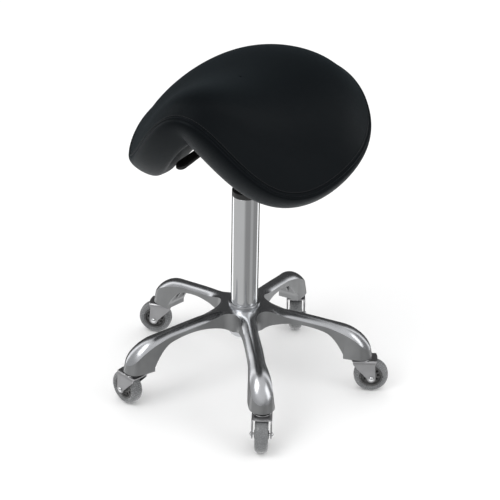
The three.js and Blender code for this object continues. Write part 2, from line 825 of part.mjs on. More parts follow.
// The padding: crowned top, rolled edge, and an underside that fits over the pan.
function cushion() {
  const { foam, pan, panShare, edgeDrop } = saddle;
  const recess = panShare + 0.01;
  const tops = [0.04, 0.26, 0.48, 0.68, 0.84, 0.94].map((t) => (
    ringOf((angle) => seatPoint(t, angle, 0, edgeDrop))
  ));
  const rolls = [0, 0.2, 0.4, 0.6, 0.8, 1].map((share) => (
    ringOf((angle) => rollPoint(angle, share * Math.PI))
  ));
  const lip = ringOf((angle) => seatPoint(recess, angle, foam + pan, 0));
  const bottoms = [recess, panShare, 0.6, 0.35, 0.04].map((t) => (
    ringOf((angle) => seatPoint(t, angle, foam, 0))
  ));
  return loft([...tops, ...rolls, lip, ...bottoms]);
}

// Rings of the pan's form at some shares of the way out, lowered by a depth.
function panRings(shares, depth) {
  return shares.map((t) => ringOf((angle) => seatPoint(t, angle, depth, 0)));
}

// The moulded shell: it follows the seat's curve and has a flat pad for the mechanism.
function seatPan() {
  const { foam, pan, panShare, padMargin, padCorner } = saddle;
  const { plateWidth, plateLength, plateBottom, plateThickness, boltRadius, boltLength } = mechanism;
  const shares = [0.04, 0.35, 0.6, panShare];
  const upperShares = [...shares].reverse();
  const shell = loft([...panRings(shares, foam + pan), ...panRings(upperShares, foam + gap)]);
  const padBottom = plateBottom + plateThickness + gap;
  const padShape = plateShape(plateWidth - 2 * padMargin, plateLength - 2 * padMargin, padCorner);
  const inShell = panRings([0.04, 0.35, 0.6], foam + pan / 2);
  const underShell = loft([...inShell, ...panRings([0.6, 0.04], foam + 120)]);
  const pad = overlap(slab(padShape, padBottom, 80, 3), underShell);
  return cut(join(shell, pad), ...boltDrills(boltRadius + 2.8, padBottom - 1, plateBottom + boltLength + 3));
}

// ---------------------------------------------------------------- assembly

const stool = new THREE.Group();

stool.add(
  piece('star_base', starBase(), 'polishedAluminium'),
  piece('column_tube', columnTube(), 'chrome'),
  piece('guide_bush', guideBush(), 'blackPlastic'),
  piece('thrust_bearing', thrustBearing(), 'brushedSteel'),
  piece('piston_rod', pistonRod(), 'chrome'),
  piece('retaining_clip', retainingClip(), 'brushedSteel'),
  piece('rubber_buffer', rubberBuffer(), 'rubber'),
  piece('pressure_tube', pressureTube(), 'blackSteel'),
  piece('release_pin', rod(lift.pinRadius, lift.pinBottom, lift.pinTop, 12), 'brushedSteel'),
  piece('taper_socket', taperSocket(), 'blackSteel'),
);

for (let i = 0; i < base.armCount; i += 1) stool.add(casterAt(i));

const leverGroup = new THREE.Group();
leverGroup.rotation.z = lever.azimuth * degree;
leverGroup.add(
  piece('lever_bracket', leverBracket(), 'blackSteel'),
  piece('lever_strap', leverStrap(), 'blackSteel'),
  piece('lever_grip', leverGrip(), 'blackPlastic'),
  piece('lever_pivot', leverPivot(), 'brushedSteel'),
);
stool.add(leverGroup);

const seatGroup = new THREE.Group();
seatGroup.rotation.z = (saddle.forward - 90) * degree;
seatGroup.add(
  piece('seat_plate', seatPlate(), 'blackSteel'),
  piece('seat_pan', seatPan(), 'blackPlastic'),
  piece('seat_cushion', cushion(), 'blackLeather'),
);
boltPlaces().forEach(([x, y], i) => {
  const bolt = piece(`plate_bolt_${i + 1}`, plateBolt(), 'brushedSteel');
  const nut = piece(`insert_nut_${i + 1}`, insertNut(), 'brass');
  bolt.position.set(x, y, 0);
  nut.position.set(x, y, 0);
  seatGroup.add(bolt, nut);
});
stool.add(seatGroup);

export default stool;
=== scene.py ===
import json
import math

import bmesh
import bpy
import numpy as np
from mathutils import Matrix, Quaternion, Vector


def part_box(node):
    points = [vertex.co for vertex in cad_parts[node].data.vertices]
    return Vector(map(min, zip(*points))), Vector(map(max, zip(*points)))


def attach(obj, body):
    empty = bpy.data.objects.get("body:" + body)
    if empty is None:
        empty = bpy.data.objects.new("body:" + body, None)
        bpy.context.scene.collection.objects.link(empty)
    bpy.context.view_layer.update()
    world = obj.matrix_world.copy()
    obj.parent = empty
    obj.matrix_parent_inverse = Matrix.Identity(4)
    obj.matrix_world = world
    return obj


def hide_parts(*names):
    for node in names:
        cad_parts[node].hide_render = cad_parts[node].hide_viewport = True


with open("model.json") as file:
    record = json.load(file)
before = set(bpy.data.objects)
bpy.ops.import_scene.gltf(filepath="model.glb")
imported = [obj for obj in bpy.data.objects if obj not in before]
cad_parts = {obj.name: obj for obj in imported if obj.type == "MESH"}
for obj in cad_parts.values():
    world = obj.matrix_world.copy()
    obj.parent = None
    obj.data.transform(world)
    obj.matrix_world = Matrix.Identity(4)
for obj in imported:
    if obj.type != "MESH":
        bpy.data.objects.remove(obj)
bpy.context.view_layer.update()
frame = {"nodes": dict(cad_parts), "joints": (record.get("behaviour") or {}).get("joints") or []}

joints = {joint["name"]: joint for joint in frame["joints"]}


# ---------------------------------------------------------------- camera, floor and light
# The stool stands alone on a white studio floor and is seen from a little above the seat through
# a long lens. A soft box hangs overhead, and grey cards round the set shade the bright metal.

sight_point = Vector((0.0088, 0.0, 0.2689))
sight_distance = 2.8275
sight_drop = math.radians(28.256)
sight_roll = 0.0174
ahead = Vector((0.0, math.cos(sight_drop), -math.sin(sight_drop)))

camera = bpy.data.objects.new("camera", bpy.data.cameras.new("camera"))
camera.data.lens = 112.87
camera.data.clip_end = 50
camera.location = sight_point - ahead * sight_distance
camera.rotation_mode = "QUATERNION"
camera.rotation_quaternion = ahead.to_track_quat("-Z", "Y") @ Quaternion((0, 0, 1), sight_roll)
bpy.context.scene.collection.objects.link(camera)
bpy.context.scene.camera = camera
bpy.context.scene.view_settings.view_transform = "Standard"


class Link:
    """A node's output. Arithmetic on it adds Math nodes to its tree."""

    def __init__(self, nodes, socket):
        self.nodes = nodes
        self.socket = socket

    def math(self, operation, *values):
        return self.nodes.add("ShaderNodeMath", {"operation": operation}, dict(enumerate(values)))

    def __add__(self, other):
        return self.math("ADD", self, other)

    def __radd__(self, other):
        return self.math("ADD", other, self)

    def __sub__(self, other):
        return self.math("SUBTRACT", self, other)

    def __rsub__(self, other):
        return self.math("SUBTRACT", other, self)

    def __mul__(self, other):
        return self.math("MULTIPLY", self, other)

    def __rmul__(self, other):
        return self.math("MULTIPLY", other, self)

    def __abs__(self):
        return self.math("ABSOLUTE", self)


class Nodes:
    """A node tree that is built one node at a time."""

    def __init__(self, tree):
        self.tree = tree

    def put(self, socket, value):
        if isinstance(value, Link):
            self.tree.links.new(value.socket, socket)
        else:
            socket.default_value = value

    def add(self, kind, settings=None, inputs=None, output=0):
        """Adds a node: its settings come first, then the values or links of its sockets."""
        node = self.tree.nodes.new(kind)
        for key, value in (settings or {}).items():
            if key == "stops":
                ramp = node.color_ramp
                while len(ramp.elements) < len(value):
                    ramp.elements.new(0.5)
                for element, (place, colour) in zip(ramp.elements, value):
                    element.position = place
                    element.color = colour
            else:
                setattr(node, key, value)
        for key, value in (inputs or {}).items():
            self.put(node.inputs[key], value)
        return Link(self, node.outputs[output])

    def step(self, value, start, end):
        """Rises smoothly from 0 to 1 as a value goes from start to end."""
        return self.add("ShaderNodeMapRange", {"interpolation_type": "SMOOTHSTEP"},
                        {"Value": value, "From Min": start, "From Max": end})

    def mix(self, share, first, second):
        """A colour between two colours."""
        settings = {"data_type": "RGBA"}
        return self.add("ShaderNodeMix", settings, {0: share, 6: first, 7: second}, output=2)


def light_world():
    """White to the eye and to matt surfaces. Glossy surfaces see the set by their direction: a
    front that steps from a light grey card to a darker one, two bright strips a little behind the
    stool with darkness beyond them, a soft box overhead and the white floor underfoot."""
    world = bpy.data.worlds.new("studio")
    world.use_nodes = True
    bpy.context.scene.world = world
    nodes = Nodes(world.node_tree)
    background = world.node_tree.nodes["Background"]
    way = nodes.add("ShaderNodeTexCoord", output="Generated")
    x = nodes.add("ShaderNodeSeparateXYZ", inputs={0: way}, output="X")
    y = nodes.add("ShaderNodeSeparateXYZ", inputs={0: way}, output="Y")
    height = nodes.add("ShaderNodeSeparateXYZ", inputs={0: way}, output="Z")
    turn = x.math("ARCTAN2", x, 0 - y)
    off_front = abs(turn)

    def strip(angle, centre, half_width):
        return 1 - nodes.step(abs(angle - centre), half_width * 0.4, half_width)

    left_grey, right_grey, dark, strip_white = 0.52, 0.27, 0.06, 1.1
    overhead_level, floor_level, matt_level = 0.8, 1.0, 1.08
    around = left_grey + nodes.step(turn, -0.3, 0.15) * (right_grey - left_grey)
    around = around + strip(turn, 0.95, 0.3) * 0.12
    around = around + nodes.step(off_front, 2.25, 2.5) * (dark - around)
    around = around + strip(off_front, 2.12, 0.2) * strip_white
    overhead = nodes.step(height - y * 0.5, 0.55, 1.0)
    seen_in_gloss = around * (1 - overhead) + overhead * overhead_level
    underfoot = nodes.step(0 - height, 0.5, 0.64)
    seen_in_gloss = seen_in_gloss + underfoot * (floor_level - seen_in_gloss)
    gloss = nodes.add("ShaderNodeLightPath", output="Is Glossy Ray")
    level = gloss * seen_in_gloss + (1 - gloss) * matt_level
    nodes.put(background.inputs["Strength"], level)
    background.inputs["Color"].default_value = (1, 1, 1, 1)


light_world()


def soft_box(name, place, aim, width, height, watts):
    """A rectangular area light that faces a point."""
    lamp = bpy.data.lights.new(name, "AREA")
    lamp.shape = "RECTANGLE"
    lamp.size = width
    lamp.size_y = height
    lamp.energy = watts
    box = bpy.data.objects.new(name, lamp)
    box.location = place
    box.rotation_euler = (Vector(aim) - Vector(place)).to_track_quat("-Z", "Y").to_euler()
    bpy.context.scene.collection.objects.link(box)


soft_box("key_light", (-1.2, -1.0, 2.2), (0, 0, 0.4), 1.2, 1.2, 14)
soft_box("fill_light", (1.9, -0.9, 1.4), (0, 0, 0.4), 1.0, 1.6, 8)


def studio_floor():
    """A wide pale sheet that the metal doesn't mirror, so that the set's cards show in it."""
    half = 6.0
    mesh = bpy.data.meshes.new("floor")
    corners = [(-half, -half, 0), (half, -half, 0), (half, half, 0), (-half, half, 0)]
    mesh.from_pydata(corners, [], [(0, 1, 2, 3)])
    material = bpy.data.materials.new("pale floor")
    material.use_nodes = True
    nodes = Nodes(material.node_tree)
    shader = material.node_tree.nodes["Principled BSDF"]
    mottle = nodes.add("ShaderNodeTexNoise", inputs={"Scale": 3.0, "Detail": 2.0})
    pale, paler = (0.93, 0.93, 0.93, 1), (0.95, 0.95, 0.95, 1)
    nodes.put(shader.inputs["Base Color"], nodes.mix(mottle, pale, paler))
    shader.inputs["Roughness"].default_value = 0.9
    shader.inputs["Specular IOR Level"].default_value = 0.0
    mesh.materials.append(material)
    floor = bpy.data.objects.new("floor", mesh)
    floor.visible_glossy = False
    bpy.context.scene.collection.objects.link(floor)


studio_floor()


# ---------------------------------------------------------------- star base
# The base is one aluminium casting: five arms, hollow and ribbed underneath, that run together
# round a tapered hub. The crowns are polished bright, and the side walls are left satin.

MM = 0.001


def finish(name, **constants):
    """A material with its Principled shader's constants set, and the nodes to add to it."""
    material = bpy.data.materials.new(name)
    material.use_nodes = True
    shader = material.node_tree.nodes["Principled BSDF"]
    for key, value in constants.items():
        shader.inputs[key.replace("_", " ")].default_value = value
    return material, Nodes(material.node_tree), shader.inputs


def position(nodes, scale=(1, 1, 1)):
    """Object coordinates in metres, stretched by a scale."""
    spot = nodes.add("ShaderNodeTexCoord", output="Object")
    return nodes.add("ShaderNodeMapping", {"vector_type": "POINT"}, {"Vector": spot, "Scale": scale})


def noise(nodes, scale, detail=2.0, stretch=(1, 1, 1)):
    """Soft random variation with so many lumps to the metre."""
    spot = position(nodes, stretch)
    return nodes.add("ShaderNodeTexNoise", inputs={"Vector": spot, "Scale": scale, "Detail": detail})


def bump(nodes, height, distance):
    """Raises the surface by a height from 0 to 1 times a distance in metres."""
    return nodes.add("ShaderNodeBump", inputs={"Height": height, "Distance": distance, "Strength": 1.0})


def polished_aluminium():
    """Buffed bright: faint cloudiness, fine buffing lines and slightly duller patches."""
    material, nodes, shader = finish("polished aluminium", Metallic=1.0)
    cloud = noise(nodes, 28, 3)
    lines = noise(nodes, 260, 2, (1, 1, 0.15))
    pits = nodes.step(noise(nodes, 900, 1), 0.7, 0.82)
    colour = nodes.mix(cloud, (0.46, 0.47, 0.49, 1), (0.62, 0.63, 0.65, 1))
    nodes.put(shader["Base Color"], nodes.mix(pits * 0.35, colour, (0.35, 0.35, 0.36, 1)))
    nodes.put(shader["Roughness"], 0.14 + cloud * 0.14 + lines * 0.06)
    nodes.put(shader["Normal"], bump(nodes, lines * 0.5 + cloud * 2, 0.00005))
    return material


def satin_aluminium():
    """The casting's side walls: belt-ground to an even grain, with the sand's texture left in it."""
    material, nodes, shader = finish("satin aluminium", Metallic=1.0)
    sand = noise(nodes, 1300, 3)
    grain = noise(nodes, 420, 2, (1, 1, 0.1))
    cloud = noise(nodes, 34, 2)
    nodes.put(shader["Base Color"], nodes.mix(cloud, (0.30, 0.305, 0.31, 1), (0.42, 0.425, 0.43, 1)))
    nodes.put(shader["Roughness"], 0.34 + grain * 0.12 + sand * 0.06)
    nodes.put(shader["Normal"], bump(nodes, sand * 0.6 + grain * 0.4, 0.00012))
    return material


def quads(rows, columns, close_rows, close_columns):
    """The faces of a grid: each joins a point to the next along its row and along its column."""
    i = np.arange(rows if close_rows else rows - 1)[:, None]
    j = np.arange(columns if close_columns else columns - 1)[None, :]
    below, across = (i + 1) % rows, (j + 1) % columns
    corners = [i * columns + j, i * columns + across, below * columns + across, below * columns + j]
    return np.stack(np.broadcast_arrays(*corners), axis=-1).reshape(-1, 4)


class Grid:
    """Points in rows and columns, in millimetres, with the finish number of its faces."""

    def __init__(self, points, close_rows=False, close_columns=False, look=0):
        self.points = np.asarray(points, float)
        self.close_rows = close_rows
        self.close_columns = close_columns
        self.look = look

    def placed(self, turn=0.0, shift=(0, 0, 0)):
        """The same grid turned round +Z by degrees, then moved."""
        cos, sin = math.cos(math.radians(turn)), math.sin(math.radians(turn))
        spin = np.array([[cos, -sin, 0], [sin, cos, 0], [0, 0, 1]])
        points = self.points @ spin.T + np.array(shift, float)
        return Grid(points, self.close_rows, self.close_columns, self.look)


def piece(name, grids, looks, body, stands_for=(), crease=34.0):
    """Welds grids into one mesh with outward faces, and mounts it on a body of the frame."""
    points, faces, numbers, count = [], [], [], 0
    for grid in grids:
        rows, columns = grid.points.shape[:2]
        own = quads(rows, columns, grid.close_rows, grid.close_columns)
        points.append(grid.points.reshape(-1, 3) * MM)
        faces.append(own + count)
        numbers.append(np.broadcast_to(grid.look, len(own)))
        count += rows * columns
    mesh = bpy.data.meshes.new(name)
    mesh.from_pydata(np.concatenate(points).tolist(), [], np.concatenate(faces).tolist())
    mesh.polygons.foreach_set("material_index", np.concatenate(numbers).astype(np.int32))
    for look in looks:
        mesh.materials.append(look)
    shape = bmesh.new()
    shape.from_mesh(mesh)
    bmesh.ops.remove_doubles(shape, verts=shape.verts, dist=2e-6)
    bmesh.ops.dissolve_degenerate(shape, edges=shape.edges, dist=1e-7)
    bmesh.ops.recalc_face_normals(shape, faces=shape.faces)
    shape.to_mesh(mesh)
    shape.free()
    mesh.shade_smooth()
    mesh.set_sharp_from_angle(angle=math.radians(crease))
    made = bpy.data.objects.new(name, mesh)
    bpy.context.scene.collection.objects.link(made)
    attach(made, body)
    if stands_for:
        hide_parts(*stands_for)
    return made


def turned(profile, segments=96, close=True):
    """Revolves [radius, height] corners round +Z. A closed profile is a ring."""
    radius, height = np.array(profile, float).T
    angle = np.linspace(0, 2 * np.pi, segments, endpoint=False)
    points = np.stack(np.broadcast_arrays(
        radius[:, None] * np.cos(angle), radius[:, None] * np.sin(angle), height[:, None]), axis=-1)
    return Grid(points, close_rows=close, close_columns=True)


def eased(corners, radius, steps=4):
    """Rounds the inner corners of an open profile by arcs of about one radius."""
    corners = [np.array(corner, float) for corner in corners]
    points = [corners[0]]
    for before, corner, after in zip(corners, corners[1:], corners[2:]):
        reach_in = min(radius, np.linalg.norm(before - corner) * 0.45)
        reach_out = min(radius, np.linalg.norm(after - corner) * 0.45)
        start = corner + (before - corner) / np.linalg.norm(before - corner) * reach_in
        end = corner + (after - corner) / np.linalg.norm(after - corner) * reach_out
        for t in np.linspace(0, 1, steps + 1):
            points.append((1 - t) ** 2 * start + 2 * t * (1 - t) * corner + t ** 2 * end)
    points.append(corners[-1])
    return points


def smooth(start, end, x):
    """Rises from 0 at start to 1 at end with level ends."""
    t = np.clip((x - start) / (end - start), 0, 1)
    return t * t * (3 - 2 * t)


caster_places = [joints[f"caster_swivel_{number}"]["pos_m"] for number in range(1, 6)]
arm_azimuths = [math.degrees(math.atan2(place[1], place[0])) for place in caster_places]
sector = math.radians(36)  # half the angle between two arms
hub_radius, hub_top, hub_bottom = 29.5, 164.0, 101.0
socket_bottom = 73.0
fillet_radius = 25.0
wall_lean = 0.16  # how far the walls lean in, as a share of the arm's half width
end_centre, end_radius = 217.0, 23.0
heel = 188.0
cast_wall = 4.5


def arm_half(s):
    """Half the arm's width along its lower edge: slim in the middle and swelling to the end."""
    return 16 + 2 * (1 - smooth(30, 90, s)) + 7 * smooth(150, 208, s)


def arm_spine(s):
    """The top line: a gentle fall from the hub, then a turn down like a knee."""
    run = s - hub_radius
    fall = 158.5 - 0.115 * run - 0.0003 * run ** 2
    bend = np.clip((s - 180) / 60, 0, 1)
    return socket_bottom + (fall - socket_bottom) * np.sqrt(1 - bend ** 2.2)


def arm_arch(s):
    """The lower edge: an arch that steepens to the heel of the socket, then the socket's foot."""
    arch = 133 - 0.0035 * (s - 97) ** 2 - 20 * np.clip((s - 150) / 36, 0, None) ** 2.2
    return np.where(s > heel, socket_bottom, np.maximum(arch, socket_bottom))


def arm_outline():
    """The lower and upper edge of one side of an arm, as distance along it and half width.
    A fillet leaves the next arm, the side runs out along the arm, and a half circle ends it."""
    half = arm_half(58.0)
    centre_along = (half + fillet_radius) / math.tan(sector)
    angle = np.radians(np.linspace(216, 270, 16))
    lean = wall_lean * half
    fillet = [(centre_along + (fillet_radius + extra) * np.cos(angle),
               half + fillet_radius + (fillet_radius + extra) * np.sin(angle)) for extra in (0, lean)]
    along = np.concatenate([
        np.linspace(centre_along + 2.5, 182, 46), np.linspace(183.5, heel, 6),
        [heel + 0.5], np.linspace(heel + 2, end_centre, 12),
    ])
    side = [(along, arm_half(along)), (along, arm_half(along) * (1 - wall_lean))]
    turn = np.radians(np.linspace(90, 0, 22))[1:]
    end = [(end_centre + radius * np.cos(turn), radius * np.sin(turn))
           for radius in (end_radius, end_radius * (1 - wall_lean))]
    return [np.stack([np.concatenate(parts) for parts in zip(*edge)], axis=-1)
            for edge in zip(fillet, side, end)]


def crown_height(s, across, share):
    """The polished top: the spine's height less a crown that falls to the upper edge. Near the
    hub the crown flattens, and the height there depends on the distance from the column."""
    arm_like = smooth(44, 96, s)
    distance = (1 - arm_like) * np.hypot(s, across) + arm_like * s
    past_centre = np.clip(s - end_centre, 0, None) / (end_radius * (1 - wall_lean))
    reach = np.sqrt(np.clip(1 - past_centre ** 2, 0, 1))
    crown = 0.6 * (1 - wall_lean) * arm_half(s) * reach * smooth(32, 92, s)
    bow = 0.8
    arched = (1 - np.sqrt(1 - (bow * share) ** 2)) / (1 - math.sqrt(1 - bow ** 2))
    waved = (1 - np.cos(np.pi * share)) / 2
    return arm_spine(distance) - crown * ((1 - arm_like) * waved + arm_like * arched)


def arm_grids():
    """One arm as a closed skin: crown, two walls, and the hollow underside."""
    lower, upper = arm_outline()
    share = np.linspace(-1, 1, 33)
    rows = np.stack(np.broadcast_arrays(upper[:, :1], upper[:, 1:] * share), axis=-1)
    ring_radius = 27.0
    arc = np.stack([ring_radius * np.cos(share * sector), ring_radius * np.sin(share * sector)], axis=-1)
    steps = np.linspace(1, 0, 8)[:-1, None, None]
    plan = np.concatenate([rows[0] * (1 - steps) + arc * steps, rows])
    share = np.broadcast_to(share, plan.shape[:2])
    top = np.dstack([plan, crown_height(plan[..., 0], plan[..., 1], share)])
    crown = Grid(top)

    edge = top[len(steps):]
    depth = np.linspace(0, 1, 9)[:, None]
    walls = []
    for side, column in ((-1, 0), (1, -1)):
        foot = np.column_stack([lower[:, 0], side * lower[:, 1], arm_arch(lower[:, 0])])
        walls.append(Grid(edge[:, column, None, :] * (1 - depth) + foot[:, None, :] * depth, look=1))

    hollow = ((lower[:, 0] > 46) & (lower[:, 0] < heel - cast_wall))[:, None]
    floor = arm_arch(lower[:, 0])[:, None]
    inner_half = np.maximum(lower[:, 1:] - cast_wall, lower[:, 1:] * 0.5)
    roof_share = np.linspace(-1, 1, 15)
    roof_half = np.minimum(inner_half, upper[:, 1:] - 3.6)
    roof_half = np.where(hollow, roof_half, inner_half)
    roof_y = roof_half * roof_share
    along = np.broadcast_to(lower[:, :1], roof_y.shape)
    roof_z = crown_height(along, roof_y, roof_share * 0.9) - cast_wall
    roof_z = np.where(hollow, np.maximum(roof_z, floor + 1), floor)
    under_y = np.hstack([-lower[:, 1:], -inner_half, roof_y, inner_half, lower[:, 1:]])
    under_z = np.hstack([floor, floor, roof_z, floor, floor])
    under_x = np.broadcast_to(lower[:, :1], under_y.shape)
    underside = Grid(np.stack([under_x, under_y, under_z], axis=-1), look=1)
    return [crown, *walls, underside]


def rib_grids():
    """The ribs cast inside an arm: one along it and two across it."""
    half = 1.5
    along = np.linspace(40, heel + 1, 40)
    ring_y = np.array([-half, half, half, -half])
    low = arm_arch(np.minimum(along, heel)) + 2
    high = crown_height(along, 0 * along, 0 * along) - 2
    ring_z = np.stack([low, low, high, high], axis=-1)
    lengthwise = np.stack(np.broadcast_arrays(along[:, None], ring_y[None, :], ring_z), axis=-1)
    ribs = [Grid(lengthwise, close_columns=True, look=1)]
    for place in (92.0, 140.0):
        across = np.linspace(-1, 1, 13)
        y = across * (arm_half(place) - 2.5)
        x = np.array([place - half, place + half, place + half, place - half])
        low = np.full(13, arm_arch(np.array(place)) + 2)
        high = crown_height(np.full(13, place), y, across * 0.95) - 2
        ring_z = np.stack([low, low, high, high], axis=-1)
        ribs.append(Grid(np.stack(np.broadcast_arrays(x[None, :], y[:, None], ring_z), axis=-1),
                         close_columns=True, look=1))
    return ribs


hub_profile = eased([
    (24.6, hub_bottom + 8), (24.5, hub_bottom), (hub_radius - 2, hub_bottom), (hub_radius + 0.5, 122),
    (hub_radius + 0.5, 150), (hub_radius - 0.5, hub_top), (25.3, hub_top), (25.3, hub_top - 8),
], 1.6)
base_grids = [turned(hub_profile, 128)]
for azimuth in arm_azimuths:
    base_grids += [grid.placed(azimuth) for grid in arm_grids() + rib_grids()]
piece("star_casting", base_grids, [polished_aluminium(), satin_aluminium()], "base",
      ["star_base"], crease=24)


# ---------------------------------------------------------------- gas lift column
# The chromed outer tube is wedged in the hub by its taper. A nylon bush closes its top and guides
# the black pressure tube, and a rod on a thrust bearing stands inside, held by a spring clip.

def chrome():
    """Bright plating: near-mirror, with a faint vertical drawing grain and a few wipe marks."""
    material, nodes, shader = finish("chrome plate", Metallic=1.0)
    drawn = noise(nodes, 300, 2, (1, 1, 0.01))
    wipe = noise(nodes, 14, 3)
    nodes.put(shader["Base Color"], nodes.mix(wipe, (0.78, 0.79, 0.80, 1), (0.84, 0.85, 0.86, 1)))
    nodes.put(shader["Roughness"], 0.05 + drawn * 0.05 + wipe * 0.04)
    nodes.put(shader["Normal"], bump(nodes, drawn, 0.00001))
    return material


def satin_steel(name, dark, light):
    """Zinc-plated pressed steel: a soft directionless grain with slight clouding."""
    material, nodes, shader = finish(name, Metallic=1.0)
    grain = noise(nodes, 900, 3)
    cloud = noise(nodes, 60, 2)
    nodes.put(shader["Base Color"], nodes.mix(cloud, dark, light))
    nodes.put(shader["Roughness"], 0.26 + grain * 0.1 + cloud * 0.08)
    nodes.put(shader["Normal"], bump(nodes, grain, 0.00006))
    return material


def black_paint():
    """Powder coat: satin black with its fine orange-peel."""
    material, nodes, shader = finish("black powder coat", Metallic=0.0)
    peel = noise(nodes, 700, 2)
    cloud = noise(nodes, 40)
    nodes.put(shader["Base Color"], nodes.mix(cloud, (0.012, 0.012, 0.013, 1), (0.02, 0.02, 0.021, 1)))
    nodes.put(shader["Roughness"], 0.4 + peel * 0.12)
    nodes.put(shader["Normal"], bump(nodes, peel, 0.0001))
    return material


def black_plastic(name, level, roughness):
    """Moulded nylon: spark-eroded grain that dulls its shine."""
    material, nodes, shader = finish(name, Metallic=0.0)
    grain = noise(nodes, 1500, 3)
    low, high = level * 0.8, level * 1.25
    nodes.put(shader["Base Color"], nodes.mix(noise(nodes, 60), (low, low, low, 1), (high, high, high, 1)))
    nodes.put(shader["Roughness"], roughness + grain * 0.12)
    nodes.put(shader["Normal"], bump(nodes, grain, 0.00008))
    return material


chrome_plate = chrome()
zinc_steel = satin_steel("zinc steel", (0.40, 0.40, 0.41, 1), (0.52, 0.52, 0.53, 1))
# The caster races' steel is given a dark colour as painted shade: it stands in for the shadow that falls
# between the fork and the arm's socket.
race_shade_steel = satin_steel("steel darkened for shade", (0.13, 0.13, 0.135, 1), (0.2, 0.2, 0.2, 1))
powder_coat = black_paint()
nylon = black_plastic("black nylon", 0.014, 0.38)

column_radius, column_top, column_bottom = 25.0, 381.0, 92.0
column_profile = eased([
    (6, column_bottom + 3), (6, column_bottom), (20.2, column_bottom), (23.4, column_bottom + 1.5),
    (24.2, column_bottom + 6), (24.2, hub_bottom), (column_radius, hub_top), (column_radius, column_top),
    (column_radius - 2, column_top), (column_radius - 2, hub_top), (22.2, 99), (20.2, 95), (6, 95),
], 0.8)
piece("column_shell", [turned(column_profile, 128)], [chrome_plate], "base", ["column_tube"])

bush_profile = eased([
    (14.3, 310), (14.3, 305), (22.7, 305), (22.7, 381.3), (column_radius, 381.3), (column_radius, 390.8),
    (22.6, 391), (15.2, 391), (14.3, 389.8), (14.3, 320),
], 1.0)
piece("guide_collar", [turned(bush_profile, 96)], [nylon], "base", ["guide_bush"])

tube_profile = eased([
    (5.3, 174), (5.3, 172), (14, 172), (14, 452), (13.2, 505), (4.3, 505), (4.3, 499), (11.2, 499),
    (12.6, 452), (12.6, 184), (5.3, 184),
], 0.9)
piece("pressure_cylinder", [turned(tube_profile, 96)], [powder_coat], "seat",
      ["pressure_tube"])

rod_profile = [
    (0, 87), (4, 87), (5, 88), (5, 88.2), (3.6, 88.2), (3.6, 90.2), (5, 90.2), (5, 280), (12.3, 280),
    (12.3, 292), (0, 292),
]
piece("lift_rod", [turned(rod_profile, 48, close=False)], [chrome_plate], "piston", ["piston_rod"])

bearing_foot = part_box("thrust_bearing")[0].z / MM
bearing_inner, bearing_outer = 6.0, 17.0
ball_radius, ball_circle, ball_height = 2.0, 11.5, 4.2
race_pieces = []
for low, high in ((0.0, 2.2), (6.2, 8.4)):  # the lower and the upper washer
    bottom, top = bearing_foot + low, bearing_foot + high
    race_pieces.append(turned(eased([
        (bearing_inner, bottom + 0.5), (bearing_inner, bottom), (bearing_outer, bottom),
        (bearing_outer, top), (bearing_inner, top), (bearing_inner, bottom + 1),
    ], 0.4), 64))
half_turn = np.linspace(0, math.pi, 9)
ball_line = bearing_foot + ball_height - ball_radius * np.cos(half_turn)
ball_profile = np.stack([ball_radius * np.sin(half_turn), ball_line], axis=-1)
for angle in np.radians(np.arange(0, 360, 36)):
    place = (ball_circle * math.cos(angle), ball_circle * math.sin(angle), 0)
    race_pieces.append(turned(ball_profile, 16, close=False).placed(0, place))
piece("ball_thrust_bearing", race_pieces, [zinc_steel], "base", ["thrust_bearing"])


# ---------------------------------------------------------------- casters
# Each caster is a pressed steel fork under a riveted ball race, with a threaded stem driven into
# the arm's socket. A bolt with domed ends carries a moulded hub and its cast polyurethane tyre.

def smoky_urethane():
    """Smoke-tinted clear polyurethane: it glows a little where it is thin and dulls where it rolls."""
    material, nodes, shader = finish("smoky polyurethane", Transmission_Weight=0.25, IOR=1.48)
    cloud = noise(nodes, 120, 2)
    scuff = nodes.step(noise(nodes, 420, 3), 0.5, 0.75)
    colour = nodes.mix(cloud, (0.17, 0.175, 0.18, 1), (0.25, 0.255, 0.26, 1))
    nodes.put(shader["Base Color"], nodes.mix(scuff * 0.4, colour, (0.12, 0.12, 0.125, 1)))
    nodes.put(shader["Roughness"], 0.22 + scuff * 0.25)
    nodes.put(shader["Normal"], bump(nodes, noise(nodes, 700, 2), 0.00004))
    return material


tyre_material = smoky_urethane()
hub_plastic = black_plastic("smoke grey hub", 0.09, 0.22)

wheel_radius, bead_radius, wheel_half = 31.75, 21.0, 12.0
trail = 16.5
crown_top = 68.2


def across(points):
    """Turns points about +Z onto the axle, which lies along +Y."""
    x, y, z = np.moveaxis(np.asarray(points, float), -1, 0)
    return np.stack([x + trail, z, wheel_radius - y], axis=-1)


def turned_across(profile, segments, close=True):
    """Revolves [radius, distance] corners round the axle."""
    upright = turned(profile, segments, close)
    return Grid(across(upright.points), upright.close_rows, True)


